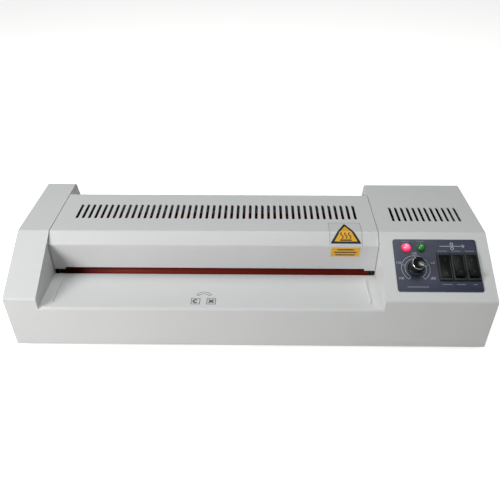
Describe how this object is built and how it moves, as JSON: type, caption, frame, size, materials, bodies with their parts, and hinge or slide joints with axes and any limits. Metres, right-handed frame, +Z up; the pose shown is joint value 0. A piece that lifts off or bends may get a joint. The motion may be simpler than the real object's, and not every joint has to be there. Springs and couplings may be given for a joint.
{
  "type": "pouch laminator",
  "caption": "Sheet-metal desktop pouch laminator: vented cover over a feed slot, heated roller pairs and a control box with knob, rocker switches and lamps.",
  "frame": {"origin": "on the table, under the middle of the case's footprint", "axes": "+X to the right end with the control box, +Y to the rear where the pouch comes out, +Z up"},
  "size_m": [0.505, 0.21, 0.108],
  "materials": {
    "casing_paint": "fine-texture powder coat, warm light grey",
    "base_paint": "matt black-grey powder coat",
    "panel_overlay": "satin printed overlay, dark navy",
    "black_plastic": "glossy moulded black",
    "rubber": "matt moulded rubber",
    "silicone": "satin silicone sleeve, brick red",
    "steel": "ground steel",
    "zinc_plate": "bright zinc plate",
    "aluminium": "mill finish",
    "nylon": "natural nylon",
    "bronze": "sintered bronze",
    "mica": "mica sheet",
    "red_lens": "clear glossy lens, lit",
    "green_lens": "clear glossy lens",
    "circuit_board": "solder-masked board",
    "wire_sleeve": "sleeved wire"
  },
  "bodies": {
    "case": {"outer_shell": "casing_paint", "top_cover": "casing_paint", "rear_panel": "casing_paint", "base_tray": "base_paint", "foot_front_left": "rubber", "foot_front_right": "rubber", "foot_rear_left": "rubber", "foot_rear_right": "rubber", "left_side_frame": "zinc_plate", "right_side_frame": "zinc_plate", "bush_front_left": "bronze", "bush_rear_left": "bronze", "bush_front_right": "bronze", "bush_rear_right": "bronze", "spring_front_left": "steel", "spring_front_right": "steel", "spring_rear_left": "steel", "spring_rear_right": "steel", "idler_pin": "steel", "motor_bracket": "zinc_plate", "gearbox": "zinc_plate", "motor": "steel", "upper_heater_plate": "aluminium", "lower_heater_plate": "aluminium", "upper_heater_strip": "mica", "lower_heater_strip": "mica", "thermal_cutout": "black_plastic", "control_panel": "panel_overlay", "red_lamp": "red_lens", "green_lamp": "green_lens", "potentiometer": "steel", "switch_housing": "black_plastic", "circuit_board": "circuit_board", "transformer": "steel", "mains_inlet": "black_plastic", "fuse_holder": "black_plastic", "wiring_loom": "wire_sleeve"},
    "front_carrier": {"bearing_block_front_left": "nylon", "bearing_block_front_right": "nylon"},
    "rear_carrier": {"bearing_block_rear_left": "nylon", "bearing_block_rear_right": "nylon"},
    "lower_front_roller": {"roller_core_lower_front": "steel", "roller_sleeve_lower_front": "silicone", "roller_gear_lower_front": "nylon"},
    "lower_rear_roller": {"roller_core_lower_rear": "steel", "roller_sleeve_lower_rear": "silicone", "roller_gear_lower_rear": "nylon"},
    "upper_front_roller": {"roller_core_upper_front": "steel", "roller_sleeve_upper_front": "silicone", "roller_gear_upper_front": "nylon"},
    "upper_rear_roller": {"roller_core_upper_rear": "steel", "roller_sleeve_upper_rear": "silicone", "roller_gear_upper_rear": "nylon"},
    "idler": {"idler_gear": "nylon"},
    "drive_shaft": {"motor_pinion": "steel"},
    "temperature_control": {"temperature_knob": "black_plastic", "potentiometer_shaft": "aluminium"},
    "direction_switch": {"direction_rocker": "black_plastic"},
    "heat_switch": {"heat_rocker": "black_plastic"},
    "power_switch": {"power_rocker": "black_plastic"}
  },
  "joints": [
    {"name": "front_carrier_lift", "type": "slide", "parent": "case", "child": "front_carrier", "axis": [0, 0, 1], "range_m": [0, 0.0012], "stiffness_N_per_m": 15000, "springref_m": -0.004, "deforming": ["spring_front_left", "spring_front_right"]},
    {"name": "rear_carrier_lift", "type": "slide", "parent": "case", "child": "rear_carrier", "axis": [0, 0, 1], "range_m": [0, 0.0012], "stiffness_N_per_m": 15000, "springref_m": -0.004, "deforming": ["spring_rear_left", "spring_rear_right"]},
    {"name": "lower_rear_spin", "type": "hinge", "parent": "case", "child": "lower_rear_roller", "pos_m": [0, 0.035, 0.04745], "axis": [1, 0, 0], "continuous": true},
    {"name": "lower_front_spin", "type": "hinge", "parent": "case", "child": "lower_front_roller", "pos_m": [0, -0.025, 0.04745], "axis": [1, 0, 0], "continuous": true},
    {"name": "upper_rear_spin", "type": "hinge", "parent": "rear_carrier", "child": "upper_rear_roller", "pos_m": [0, 0.035, 0.07375], "axis": [1, 0, 0], "continuous": true},
    {"name": "upper_front_spin", "type": "hinge", "parent": "front_carrier", "child": "upper_front_roller", "pos_m": [0, -0.025, 0.07375], "axis": [1, 0, 0], "continuous": true},
    {"name": "idler_spin", "type": "hinge", "parent": "case", "child": "idler", "pos_m": [0, 0.005, 0.04745], "axis": [1, 0, 0], "continuous": true},
    {"name": "drive_spin", "type": "hinge", "parent": "case", "child": "drive_shaft", "pos_m": [0, 0.059, 0.04745], "axis": [1, 0, 0], "continuous": true},
    {"name": "temperature_knob_turn", "type": "hinge", "parent": "case", "child": "temperature_control", "pos_m": [0.1723, -0.07164, 0.08785], "axis": [0, -0.4614, 0.8872], "range_deg": [-11, 259]},
    {"name": "direction_rocker_tilt", "type": "hinge", "parent": "case", "child": "direction_switch", "pos_m": [0.20255, -0.07032, 0.08921], "axis": [1, 0, 0], "range_deg": [-18, 0]},
    {"name": "heat_rocker_tilt", "type": "hinge", "parent": "case", "child": "heat_switch", "pos_m": [0.21685, -0.07032, 0.08921], "axis": [1, 0, 0], "range_deg": [0, 18]},
    {"name": "power_rocker_tilt", "type": "hinge", "parent": "case", "child": "power_switch", "pos_m": [0.23115, -0.07032, 0.08921], "axis": [1, 0, 0], "range_deg": [0, 18]}
  ],
  "couplings": [
    {"joint": "lower_front_spin", "follows": "lower_rear_spin", "ratio": 1},
    {"joint": "idler_spin", "follows": "lower_rear_spin", "ratio": -0.76471},
    {"joint": "upper_rear_spin", "follows": "lower_rear_spin", "ratio": -1},
    {"joint": "upper_front_spin", "follows": "lower_rear_spin", "ratio": -1},
    {"joint": "drive_spin", "follows": "lower_rear_spin", "ratio": -1.1818}
  ]
}
